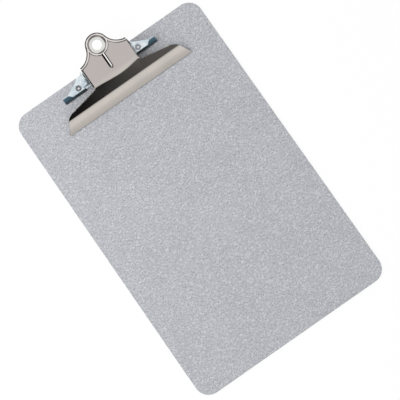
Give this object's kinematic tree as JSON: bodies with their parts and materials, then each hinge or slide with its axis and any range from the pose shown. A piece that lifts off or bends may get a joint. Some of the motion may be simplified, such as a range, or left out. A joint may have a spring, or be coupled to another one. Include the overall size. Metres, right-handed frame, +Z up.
{
  "type": "clipboard with lever clip",
  "caption": "Thin flat metal board with rounded corners and a wide spring-loaded lever clip whose jaw holds sheets against the board.",
  "frame": {"origin": "centre of the board's flat back", "axes": "+X to the right across the board, +Y towards the clip end, +Z up from the back through the writing face"},
  "size_m": [0.229, 0.3779, 0.0339],
  "materials": {
    "board_enamel": "grey hammered enamel with fine speckle",
    "nickel_plate": "bright nickel plating on pressed steel",
    "zinc_plate": "bright bluish zinc plating",
    "spring_steel": "drawn spring wire"
  },
  "bodies": {
    "board_and_base": {"board": "board_enamel", "clip_base": "zinc_plate", "hinge_pin": "zinc_plate", "spring_left": "spring_steel", "spring_right": "spring_steel", "rivets": "zinc_plate"},
    "lever": {"clip_lever": "nickel_plate"}
  },
  "joints": [
    {"name": "lever_hinge", "type": "hinge", "parent": "board_and_base", "child": "lever", "pos_m": [0.004, 0.17, 0.0105], "axis": [-1, 0, 0], "range_deg": [0, 38], "stiffness_Nm_per_rad": 0.3, "springref_deg": -85.94, "deforming": ["spring_left", "spring_right"]}
  ]
}
